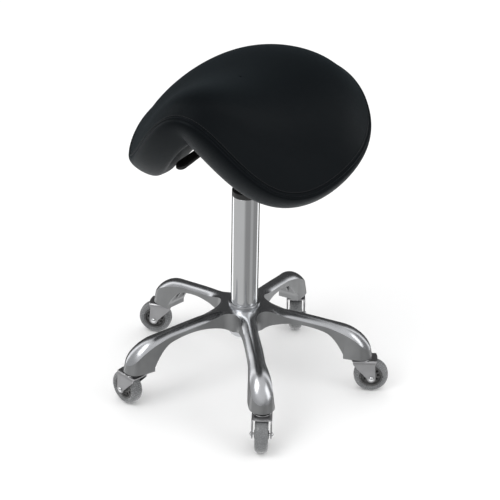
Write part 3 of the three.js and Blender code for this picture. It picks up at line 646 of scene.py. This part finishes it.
def fork_grids():
    """A strap of steel bent over the wheel: its middle line goes up one leg, round the bend, over
    the crown and down the other leg, and its front and back edges narrow towards the axle."""
    half, bend, thickness, leg_end = 18.0, 5.0, 2.6, 8.0
    front_edge, back_edge, edge_round = -17.0, 22.5, 9.0
    leg_steps, bend_steps, columns = 34, 8, 13
    foot = wheel_radius - leg_end
    drop = np.linspace(0, 1, leg_steps)
    leg_z = foot + (crown_top - bend - foot) * (1 - np.cos(drop * np.pi / 2)) ** 0.9
    corner = np.radians(np.linspace(0, 90, bend_steps + 1))[1:]
    over = np.linspace(half - bend, 0, bend_steps + 1)[1:]
    level = np.full(bend_steps, crown_top)
    y = np.concatenate([np.full(leg_steps, half), half - bend + bend * np.cos(corner), over])
    z = np.concatenate([leg_z, crown_top - bend + bend * np.sin(corner), level])
    normal_y = np.concatenate([np.ones(leg_steps), np.cos(corner), np.zeros(bend_steps)])
    normal_z = np.concatenate([np.zeros(leg_steps), np.sin(corner), np.ones(bend_steps)])

    def edge(start, way):
        """Half circle round the axle, then straight up to the crown's rounded edge."""
        rise = z - wheel_radius
        circle = trail + way * np.sqrt(np.clip(leg_end ** 2 - np.minimum(rise, 0) ** 2, 0, None))
        shoulder = crown_top - edge_round
        reach = np.clip(rise / (shoulder - wheel_radius), 0, None)
        straight = trail + way * leg_end + (start - trail - way * leg_end) * np.minimum(reach, 1)
        crowned = start + way * 2.0 * np.sin(np.clip((z - shoulder) / edge_round, 0, 1) * np.pi / 2)
        rounded = crowned + way * 2.5 * (1 - (y / half) ** 2) * (z > crown_top - 1)
        return np.where(rise < 0, circle, np.where(z < shoulder, straight, rounded))

    front, back = edge(front_edge, -1), edge(back_edge, 1)
    share = np.linspace(0, 1, columns)
    x = front[:, None] * (1 - share) + back[:, None] * share

    def skin(depth):
        """The strap's surface at a depth below its outer face, from one foot to the other."""
        sunk_y, sunk_z = (y - normal_y * depth)[:, None], (z - normal_z * depth)[:, None]
        right = np.stack(np.broadcast_arrays(x, sunk_y, sunk_z), -1)
        left = (right * np.array([1, -1, 1]))[::-1][1:]
        return np.concatenate([right, left])

    outer, inner = skin(0), skin(thickness)
    around = np.concatenate([outer, inner[:, ::-1]], axis=1)
    ends = [Grid(np.stack([around[k, :columns], around[k, :columns - 1:-1]])) for k in (0, -1)]
    return [Grid(around, close_columns=True), *ends]


race_grids = [
    turned(eased([
        (4.7, 66), (4.7, 69), (16.2, 69), (16.8, 70.5), (13.6, 71.2), (13.6, 72.7), (5.5, 72.7),
    ], 0.7), 64, close=False),
    turned(eased([(5.5, 72.7), (5.5, 92.8), (4.2, 94.4), (0, 94.4)], 0.7), 32, close=False),
    turned([(0, 63.4), (6.4, 63.4), (6.7, 63.9), (6.7, 65.2), (4.7, 65.3), (4.7, 66)], 32, close=False),
]
race_ring = turned(eased([
    (13.2, crown_top - 0.6), (13.6, crown_top + 0.6), (15.6, crown_top + 0.6), (16.6, crown_top - 0.6),
], 0.5), 64)



def mirrored(side):
    """The same [radius, distance] corners on the wheel's other side, in the opposite order."""
    return [(radius, -distance) for radius, distance in reversed(side)]


bolt_end, bolt_seat = 21.0, 18.3
dome = [
    (0, bolt_end), (1.6, bolt_end - 0.2), (2.9, bolt_end - 0.8), (3.8, bolt_end - 1.6),
    (4.1, bolt_end - 2.2), (5.0, bolt_end - 2.3), (5.0, bolt_seat), (3.0, bolt_seat),
]
bolt_profile = dome + mirrored(dome)

tyre_side = eased([
    (bead_radius, 0), (bead_radius, 9.5), (22.4, 10.6), (25.5, wheel_half), (29.0, 10.6), (31.2, 7.2),
    (wheel_radius, 3.4), (wheel_radius, 0),
], 2.2, 5)
tyre_profile = tyre_side + mirrored(tyre_side)[1:-1]

web_half, web_inner, web_outer = 4.2, 8.8, 18.1
hub_holes, hole_radius, hole_circle = 10, 2.7, 13.6
rim_side = eased([(web_outer, web_half), (18.4, 7.2), (18.9, 9.5), (20.7, 9.5), (20.7, 0)], 0.5, 3)
boss_side = eased([(3.3, 0), (3.3, 13.0), (7.5, 13.0), (7.6, 5.0), (web_inner, web_half)], 0.5, 3)


def pierced_web():
    """Both faces of the web and the walls of its holes. Round each hole a patch of the face runs
    from the hole's circle out to the outline of its own sector of the ring."""
    turn = np.linspace(0, 2 * np.pi, 48, endpoint=False)
    ray = np.stack([np.cos(turn), np.sin(turn)]) / np.maximum(np.abs(np.cos(turn)), np.abs(np.sin(turn)))
    reach = (web_outer + web_inner) / 2 + ray[0] * (web_outer - web_inner) / 2
    azimuth = ray[1] * np.pi / hub_holes
    outline = np.stack([reach * np.cos(azimuth), reach * np.sin(azimuth)], axis=-1)
    circle = np.stack([hole_circle + hole_radius * np.cos(turn), hole_radius * np.sin(turn)], axis=-1)
    share = np.linspace(0, 1, 5)[:, None, None]
    face = circle * (1 - share) + outline * share
    level = np.ones(face.shape[:2])
    skin = np.concatenate([np.dstack([face[::-1], -web_half * level]), np.dstack([face, web_half * level])])
    patch = Grid(skin, close_columns=True)
    holes = [patch.placed(number * 360 / hub_holes) for number in range(hub_holes)]
    return [Grid(across(hole.points), close_columns=True) for hole in holes]


def hub_grids():
    """The hub: an outer rim and a bearing boss, joined by the pierced web."""
    rim_ring = turned_across(rim_side + mirrored(rim_side)[1:], 240, close=False)
    boss = turned_across(mirrored(boss_side) + boss_side[1:], 240, close=False)
    return [rim_ring, boss] + pierced_web()


for number, swivel in enumerate(caster_places, 1):
    axle = joints[f"wheel_spin_{number}"]["pos_m"]
    turn = math.degrees(math.atan2(axle[1] - swivel[1], axle[0] - swivel[0]))
    place = (swivel[0] / MM, swivel[1] / MM, 0)
    fork = piece(f"fork_{number}", [grid.placed(turn, place) for grid in fork_grids() + [race_ring]],
                 [zinc_steel], f"caster_{number}", [f"caster_fork_{number}"])
    rounding = fork.modifiers.new("pressed edge", "BEVEL")
    rounding.width = 0.5 * MM
    rounding.segments = 2
    rounding.limit_method = "ANGLE"
    rounding.angle_limit = math.radians(50)
    # The race is drawn in the steel whose dark colour paints in the shade round it.
    piece(f"race_{number}", [grid.placed(turn, place) for grid in race_grids], [race_shade_steel],
          "base", [f"caster_stem_{number}"])
    piece(f"axle_bolt_{number}", [turned_across(bolt_profile, 36, close=False).placed(turn, place)],
          [chrome_plate], f"caster_{number}", [f"caster_axle_{number}"])
    piece(f"hub_{number}", [grid.placed(turn, place) for grid in hub_grids()], [hub_plastic],
          f"wheel_{number}", [f"wheel_hub_{number}"])
    piece(f"tyre_{number}", [turned_across(tyre_profile, 96).placed(turn, place)], [tyre_material],
          f"wheel_{number}", [f"wheel_tyre_{number}"])


# ---------------------------------------------------------------- seat mechanism
# A pressed plate is bolted to the seat shell. Its tapered socket drops over the pressure tube, and
# a paddle-ended strap, pinned in a bracket, tips down on the release pin.

def keep(node, look):
    """Gives a CAD piece its finish where its shape is already right."""
    made = frame["nodes"][node]
    made.data.materials.clear()
    made.data.materials.append(look)


for node in ("seat_plate", "lever_bracket", "lever_strap"):
    keep(node, powder_coat)
for node in ("release_pin", "lever_pivot", "retaining_clip", "plate_bolt_1", "plate_bolt_2", "plate_bolt_3",
             "plate_bolt_4"):
    keep(node, zinc_steel)


def brass():
    """Turned brass: warm, with the tool's rings."""
    material, nodes, shader = finish("turned brass", Metallic=1.0)
    rings = noise(nodes, 800, 2, (0.2, 0.2, 1))
    nodes.put(shader["Base Color"], nodes.mix(rings, (0.55, 0.37, 0.14, 1), (0.7, 0.5, 0.2, 1)))
    nodes.put(shader["Roughness"], 0.28 + rings * 0.15)
    return material


def black_rubber():
    """Moulded rubber: dull, with a dusty bloom."""
    material, nodes, shader = finish("black rubber", Metallic=0.0)
    bloom = noise(nodes, 150, 3)
    nodes.put(shader["Base Color"], nodes.mix(bloom, (0.012, 0.012, 0.012, 1), (0.03, 0.03, 0.03, 1)))
    nodes.put(shader["Roughness"], 0.75 + bloom * 0.15)
    nodes.put(shader["Normal"], bump(nodes, bloom, 0.0001))
    return material


turned_brass = brass()
for number in range(1, 5):
    keep(f"insert_nut_{number}", turned_brass)
keep("rubber_buffer", black_rubber())

socket_profile = eased([
    (14.2, 460), (14.2, 458), (18, 458), (19, 460), (19, 506), (13.5, 506), (13.6, 500),
], 0.7)
piece("taper_cone", [turned(socket_profile, 72)], [powder_coat], "seat", ["taper_socket"])


def lever_paddle():
    """A moulded paddle: a flattened oval section that widens to a round end, bent down at a slope."""
    start, reach, thickness = 86.0, 152.0, 8.0
    half_end, half_start, squareness = 11.0, 9.0, 0.45
    strap_bend, strap_height, fall_per_mm = 48.0, 511.3, 0.343
    axis = joints["lever_lift"]["axis"]
    azimuth = math.degrees(math.atan2(axis[1], axis[0])) + 90
    centre = reach - half_end
    round_end = centre + half_end * np.sin(np.linspace(0, np.pi / 2, 12))[1:]
    along = np.concatenate([np.linspace(start, centre, 24), round_end])
    half = np.where(along < centre, half_start + (half_end - half_start) * (along - start) / (centre - start),
                    np.sqrt(np.clip(half_end ** 2 - (along - centre) ** 2, 0, None)))
    edge_ease = np.clip((along - start) / 2.0, 0, 1) ** 0.5
    angle = np.linspace(0, 2 * np.pi, 40, endpoint=False)
    round_y = np.sign(np.cos(angle)) * np.abs(np.cos(angle)) ** squareness
    round_z = np.sign(np.sin(angle)) * np.abs(np.sin(angle)) ** squareness
    thick = np.sqrt(np.clip(half / half_end, 0.0, 1)) * edge_ease * thickness / 2
    middle = strap_height - fall_per_mm * (along - strap_bend)
    y, z = (half * edge_ease)[:, None] * round_y, middle[:, None] + thick[:, None] * round_z
    points = np.stack(np.broadcast_arrays(along[:, None], y, z), -1)
    cap = np.broadcast_to(points[:1].mean(axis=1, keepdims=True), points[:1].shape)
    return Grid(np.concatenate([cap, points]), close_columns=True).placed(azimuth)


piece("lever_paddle", [lever_paddle()], [nylon], "height_lever", ["lever_grip"], crease=50)


# ---------------------------------------------------------------- seat shell
# The shell under the padding is moulded in black plastic. It follows the saddle's curve and has a
# flat pad with brass inserts where the plate is bolted on.

bolts = [sum(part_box(f"plate_bolt_{n}"), Vector()) / 2 for n in range(1, 5)]
seat_ahead = (bolts[2] + bolts[3]) - (bolts[0] + bolts[1])
seat_turn = math.degrees(math.atan2(seat_ahead.y, seat_ahead.x)) - 90

unit = 200.0
foam, pan = 58.0, 9.7
edge_drop, edge_power = 38.0, 5
roll_thickness, roll_bulge, roll_lean = 58.0, 10.75, 8.0
pan_share = 0.8


def rim(angle):
    """The seam's outline round the seat: pear-shaped, wide at the back."""
    x = 201.6 * np.sin(angle) - 19.3 * np.sin(2 * angle)
    y = 13.3 + 218.9 * np.cos(angle) - 14.5 * np.cos(2 * angle)
    return x, y


def seat_curve(x, y):
    """The seat's own height: a dip between pommel and cantle, arched from side to side."""
    s, u = y / unit, x / unit
    spine = 607.8 + 12.2 * s + 32.1 * s ** 2 + 2.6 * s ** 3 - 13.2 * s ** 4
    arch = 106.6 + 155.1 * s + 90.4 * s ** 2
    relief = 29.3 + 86.9 * s + 16.4 * s ** 2
    return spine - arch * u ** 2 + relief * u ** 4


middle_y = rim(np.pi / 2)[1]


def seat_points(share, angle, depth, drop):
    """Points at a share of the way from the middle to the seam, lowered by a depth."""
    rim_x, rim_y = rim(angle)
    x = share * rim_x
    y = middle_y + share * (rim_y - middle_y)
    return np.stack(np.broadcast_arrays(x, y, seat_curve(x, y) - drop * share ** edge_power - depth), axis=-1)


def normalised(vectors):
    return vectors / np.linalg.norm(vectors, axis=-1, keepdims=True)


shell_angle = np.linspace(0, 2 * np.pi, 144, endpoint=False)
shell_shares = np.linspace(0, pan_share, 30)[:, None]
shell_lower = seat_points(shell_shares, shell_angle[None, :], foam + pan, 0)
shell_upper = seat_points(shell_shares[::-1], shell_angle[None, :], foam + 0.6, 0)
shell = Grid(np.concatenate([shell_lower, shell_upper]), close_columns=True)


def shell_pad():
    """The flat boss for the plate: a rounded oblong that rises into the shell."""
    half_x, half_y = 63.0, 83.0
    angle = np.linspace(0, 2 * np.pi, 96, endpoint=False)
    x = np.sign(np.cos(angle)) * np.abs(np.cos(angle)) ** 0.25 * half_x
    y = np.sign(np.sin(angle)) * np.abs(np.sin(angle)) ** 0.25 * half_y
    heights = [520.3, 520.3, 521.3, 540]
    scales = [0.0, 0.985, 1.0, 1.03]
    rows = [np.stack([x * k, y * k, np.full(96, z)], axis=-1) for k, z in zip(scales, heights)]
    return Grid(rows, close_columns=True)


piece("seat_shell", [shell.placed(seat_turn), shell_pad().placed(seat_turn)],
      [black_plastic("shell plastic", 0.02, 0.45)], "seat", ["seat_pan"])


# ---------------------------------------------------------------- padded saddle
# Moulded foam on the shell under a sewn cover of smooth black synthetic leather: a top panel and
# a boxing panel meet in one seam round the edge, topstitched, and the cover wraps under the shell.

def leather():
    """Smooth coated leather: near black, a fine pebble grain, and a shine that varies softly."""
    material, nodes, shader = finish(
        "black synthetic leather", Coat_Roughness=0.3, Specular_IOR_Level=0.08,
        Specular_Tint=(0.8, 0.92, 1, 1), Sheen_Weight=0.03, Sheen_Roughness=0.5,
        Sheen_Tint=(0.6, 0.85, 1, 1))
    cells = nodes.add("ShaderNodeTexVoronoi", {"feature": "DISTANCE_TO_EDGE"},
                      {"Vector": position(nodes), "Scale": 1100.0}, output="Distance")
    pebble = nodes.step(cells, 0.0, 0.25)
    fine = noise(nodes, 2400, 2)
    hand = noise(nodes, 9, 2)
    colour = nodes.mix(pebble, (0.0009, 0.0012, 0.0016, 1), (0.0019, 0.0024, 0.0031, 1))
    nodes.put(shader["Base Color"], nodes.mix(hand * 0.5, colour, (0.0022, 0.0027, 0.0034, 1)))
    nodes.put(shader["Roughness"], 0.4 + hand * 0.1 - pebble * 0.05)
    nodes.put(shader["Coat Weight"], hand * 0.03)
    nodes.put(shader["Normal"], bump(nodes, pebble * 0.7 + fine * 0.3, 0.00006))
    return material


def shell_lip(angle):
    """Where the cover is stapled under the shell: near its edge at front and back, and far in,
    round the mounting plate, beside the thick padding of the two flaps."""
    from_front = np.arccos(np.clip(np.cos(angle), -1, 1))
    tucked = (smooth(np.radians(20), np.radians(60), from_front)
              * (1 - smooth(np.radians(110), np.radians(150), from_front)))[..., None]
    plain = seat_points(np.full_like(angle, pan_share + 0.01), angle, foam + pan + 0.5, 0)
    x = 84 * np.sign(np.sin(angle)) * np.abs(np.sin(angle)) ** 0.6
    y = 5 + 104 * np.sign(np.cos(angle)) * np.abs(np.cos(angle)) ** 0.6
    beside_plate = np.stack([x, y, seat_curve(x, y) - foam - pan - 0.5], axis=-1)
    return plain * (1 - tucked) + beside_plate * tucked, tucked


def cushion_surface(angle, stage):
    """The cushion's skin by angle round it and a stage through it. From stage 0 to 1 the top runs
    from the middle to the seam, from 1 to 2 the edge rolls under, from 2 to 3 the underside runs
    in to the shell's lip, and from 3 to 4 it turns back round the shell and closes over it."""
    angle, stage = np.broadcast_arrays(np.asarray(angle, float), np.asarray(stage, float))
    top = seat_points(np.clip(stage, 0, 1), angle, 0, edge_drop)
    small = 0.01
    here = seat_points(np.ones_like(angle), angle, 0, edge_drop)
    along = seat_points(np.ones_like(angle), angle + small, 0, edge_drop)
    along = along - seat_points(np.ones_like(angle), angle - small, 0, edge_drop)
    outward = here - seat_points(np.full_like(angle, 1 - small), angle, 0, edge_drop)
    normal = normalised(np.cross(outward, along))
    normal *= np.sign(normal[..., 2:])
    side = normalised(np.cross(along, normal))
    side *= np.sign(np.sum(side * outward, axis=-1, keepdims=True))
    turn = np.clip(stage - 1, 0, 1) * np.pi
    sunk = ((1 - np.cos(turn)) / 2)[..., None]
    bulge = roll_bulge * np.sin(turn)[..., None] + roll_lean * sunk
    roll = here - normal * roll_thickness * sunk + side * bulge

    # The underside is a cubic curve in to the lip, which hangs low beside the plate.
    foot = here - normal * roll_thickness + side * roll_lean
    lip, tucked = shell_lip(angle)
    from_front = np.arccos(np.clip(np.cos(angle), -1, 1))
    lowest = foot[..., 2:] - 26 * smooth(np.radians(60), np.radians(90), from_front)[..., None]
    first, second = foot * 0.58 + lip * 0.42, foot * 0.08 + lip * 0.92
    first[..., 2:] += (lowest - first[..., 2:]) * tucked
    second[..., 2:] += (lowest - second[..., 2:]) * tucked
    t = np.clip(stage - 2, 0, 1)[..., None]
    under = (1 - t) ** 3 * foot + 3 * t * (1 - t) ** 2 * first + 3 * t ** 2 * (1 - t) * second + t ** 3 * lip

    outer_share = pan_share + 0.01
    back = np.clip((stage - 3) / 0.2, 0, 1)[..., None]
    tuck = lip * (1 - back) + seat_points(np.full_like(angle, outer_share), angle, foam + pan + 0.5, 0) * back
    over = np.clip((stage - 3.2) / 0.1, 0, 1)
    hidden_share = np.clip((4 - stage) / 0.7, 0, 1) * outer_share
    hidden = seat_points(hidden_share, angle, foam + (pan + 0.5) * (1 - over), 0)
    stage = stage[..., None]
    return np.select([stage <= 1, stage <= 2, stage <= 3, stage <= 3.2], [top, roll, under, tuck], hidden)


def surface_normals(points):
    """Outward unit normals of a grid that closes along its rows."""
    along = np.roll(points, -1, axis=1) - np.roll(points, 1, axis=1)
    down = np.gradient(points, axis=0)
    return normalised(np.cross(down, along) + 1e-9)


def simulated_swell(angles, stages):
    """How far the stuffed cover stands off the foam. The cover is sewn down at the seam and at the
    shell, starts a little inside the saddle's form, and is blown up by a light pressure."""
    slack, most = 3.5, 3.5
    start = cushion_surface(angles[None, :], stages[:, None])
    normal = surface_normals(start)
    sewn = np.minimum(np.abs(stages - 1) * 6, np.abs(stages - 2.7) * 3)
    free = np.where(stages > 2.7, 0, np.clip(sewn, 0, 1))[:, None]
    inside = start - normal * (slack * free)[..., None]
    rows, columns = inside.shape[:2]
    mesh = bpy.data.meshes.new("cover blank")
    mesh.from_pydata((inside.reshape(-1, 3) * MM).tolist(), [], quads(rows, columns, False, True).tolist())
    cover = bpy.data.objects.new("cover blank", mesh)
    bpy.context.scene.collection.objects.link(cover)
    held = cover.vertex_groups.new(name="sewn")
    for row in np.nonzero(free[:, 0] < 0.3)[0]:
        held.add(range(row * columns, (row + 1) * columns), 1.0, "REPLACE")
    cloth = cover.modifiers.new("cover", "CLOTH")
    cloth.settings.quality = 6
    cloth.settings.mass = 0.4
    cloth.settings.tension_stiffness = 25
    cloth.settings.compression_stiffness = 25
    cloth.settings.shear_stiffness = 10
    cloth.settings.bending_stiffness = 2
    cloth.settings.use_pressure = True
    cloth.settings.uniform_pressure_force = 4
    cloth.settings.vertex_group_mass = "sewn"
    cloth.settings.effector_weights.gravity = 0
    cloth.collision_settings.use_collision = False
    cloth.point_cache.frame_start = 1
    cloth.point_cache.frame_end = 20
    for moment in range(1, 21):
        bpy.context.scene.frame_set(moment)
    solved = cover.evaluated_get(bpy.context.evaluated_depsgraph_get()).to_mesh()
    blown = np.empty(rows * columns * 3, np.float32)
    solved.vertices.foreach_get("co", blown)
    moved = np.sum((blown.reshape(rows, columns, 3) / MM - start) * normal, axis=-1)
    cover.to_mesh_clear()
    bpy.context.scene.frame_set(1)
    bpy.data.objects.remove(cover)
    return np.clip(moved, -slack, most) * free


def blended_between(coarse, coarse_angles, coarse_stages, angles, stages):
    """Reads a coarse grid that closes round the seat at finer angles and stages, by straight lines
    between its points."""
    wrapped = np.concatenate([coarse, coarse[:, :1]], axis=1)
    around = np.append(coarse_angles, 2 * np.pi)
    by_angle = np.stack([np.interp(angles, around, row) for row in wrapped])
    return np.stack([np.interp(stages, coarse_stages, column) for column in by_angle.T], axis=1)


def softened(field, passes):
    """Averages a grid with its neighbours, round the seat and along the stages."""
    for _ in range(passes):
        field = (np.roll(field, 1, axis=1) + 2 * field + np.roll(field, -1, axis=1)) / 4
        inner = (field[:-2] + 2 * field[1:-1] + field[2:]) / 4
        field = np.concatenate([field[:1], inner, field[-1:]])
    return field


seam_steps = 1 + np.linspace(-0.03, 0.06, 31)
stages = np.unique(np.concatenate([
    np.linspace(0.0, 0.9, 70), np.linspace(0.9, 0.97, 16), seam_steps, np.linspace(1.06, 2, 44),
    np.linspace(2, 3, 34), np.linspace(3.05, 3.2, 4), [3.25, 3.3], np.linspace(3.4, 4, 8),
]).round(6))
angles = np.linspace(0, 2 * np.pi, 400, endpoint=False)
skin = cushion_surface(angles[None, :], stages[:, None])
under_edge = (smooth(1.3, 1.7, stages) * (1 - smooth(2.5, 2.8, stages)))[:, None, None]
for _ in range(60):  # rounds the corner where the edge turns in under the foam
    skin[1:-1] += under_edge[1:-1] * (skin[:-2] + skin[2:] - 2 * skin[1:-1]) / 4
skin_normal = surface_normals(skin)

coarse_angles = np.linspace(0, 2 * np.pi, 120, endpoint=False)
coarse_stages = np.unique(np.concatenate([
    np.linspace(0.04, 0.88, 22), np.linspace(0.9, 1.1, 11), np.linspace(1.15, 2, 12),
    np.linspace(2.1, 3, 7), [3.2, 3.3, 3.6, 3.95],
]).round(6))
swell = softened(simulated_swell(coarse_angles, coarse_stages), 2)
swell = blended_between(swell, coarse_angles, coarse_stages, angles, stages)
skin = skin + skin_normal * swell[..., None]

# The seam: the cover dips where the two panels are sewn, and stands up a little on either side.
seam_line = cushion_surface(angles[None, :], np.ones((1, 1)))
from_seam = np.linalg.norm(skin - seam_line, axis=-1) * np.sign(stages - 1)[:, None]
near = (np.abs(stages - 1) < 0.35)[:, None]
groove = -1.5 * np.exp(-(from_seam / 1.1) ** 2)
fold = 0.55 * np.exp(-((from_seam + 2.6) / 1.6) ** 2) + 0.35 * np.exp(-((from_seam - 2.4) / 1.5) ** 2)
stitch_dip = -0.45 * np.exp(-((from_seam + 5.6) / 0.9) ** 2)
skin = skin + skin_normal * np.where(near, groove + fold + stitch_dip, 0)[..., None]

cover = piece("saddle_cushion", [Grid(skin, close_columns=True).placed(seat_turn)], [leather()], "seat",
              ["seat_cushion"], crease=60)


def stitch_grids():
    """Short thread stitches laid end to end on the top panel, along a line beside the seam."""
    inset, pitch, length, thread = 5.6, 4.6, 3.4, 0.38
    near = (stages > 0.8) & (stages <= 1)
    rows, distance, columns = skin[near], from_seam[near], np.arange(len(angles))
    above = np.sum(distance < -inset, axis=0) - 1
    before, after = distance[above, columns], distance[above + 1, columns]
    share = ((-inset - before) / (after - before))[:, None]
    line = rows[above, columns] * (1 - share) + rows[above + 1, columns] * share
    up = surface_normals(skin)[near][above, columns]
    line, up = np.concatenate([line, line[:1]]), np.concatenate([up, up[:1]])
    run = np.concatenate([[0], np.cumsum(np.linalg.norm(np.diff(line, axis=0), axis=1))])
    count = int(run[-1] / pitch)
    t = np.linspace(0, 1, 7)
    places = np.arange(count)[:, None] * run[-1] / count + t * length

    def along_line(values):
        return np.stack([np.interp(places, run, values[:, k]) for k in range(3)], axis=-1)

    middle, lift = along_line(line), normalised(along_line(up))
    forward = normalised(np.gradient(middle, axis=1))
    sideways = np.cross(forward, lift)
    middle = middle + lift * (0.3 * np.sin(np.pi * t) - 0.1)[:, None]
    radius = thread * np.sqrt(np.clip(1 - np.abs(2 * t - 1) ** 6, 0.0004, 1))
    angle = np.linspace(0, 2 * np.pi, 6, endpoint=False)
    ring = (lift[:, :, None] * np.cos(angle)[:, None] + sideways[:, :, None] * np.sin(angle)[:, None])
    points = middle[:, :, None] + ring * radius[:, None, None]
    return [Grid(stitch, close_columns=True).placed(seat_turn) for stitch in points]


def thread_look():
    """Bonded polyester thread: black, with the sheen and twist of its plies."""
    material, nodes, shader = finish("black thread", Metallic=0.0)
    twist = noise(nodes, 1800, 2)
    nodes.put(shader["Base Color"], nodes.mix(twist, (0.006, 0.0065, 0.007, 1), (0.02, 0.021, 0.023, 1)))
    nodes.put(shader["Roughness"], 0.45 + twist * 0.2)
    return material


piece("seam_stitching", stitch_grids(), [thread_look()], "seat", crease=80)
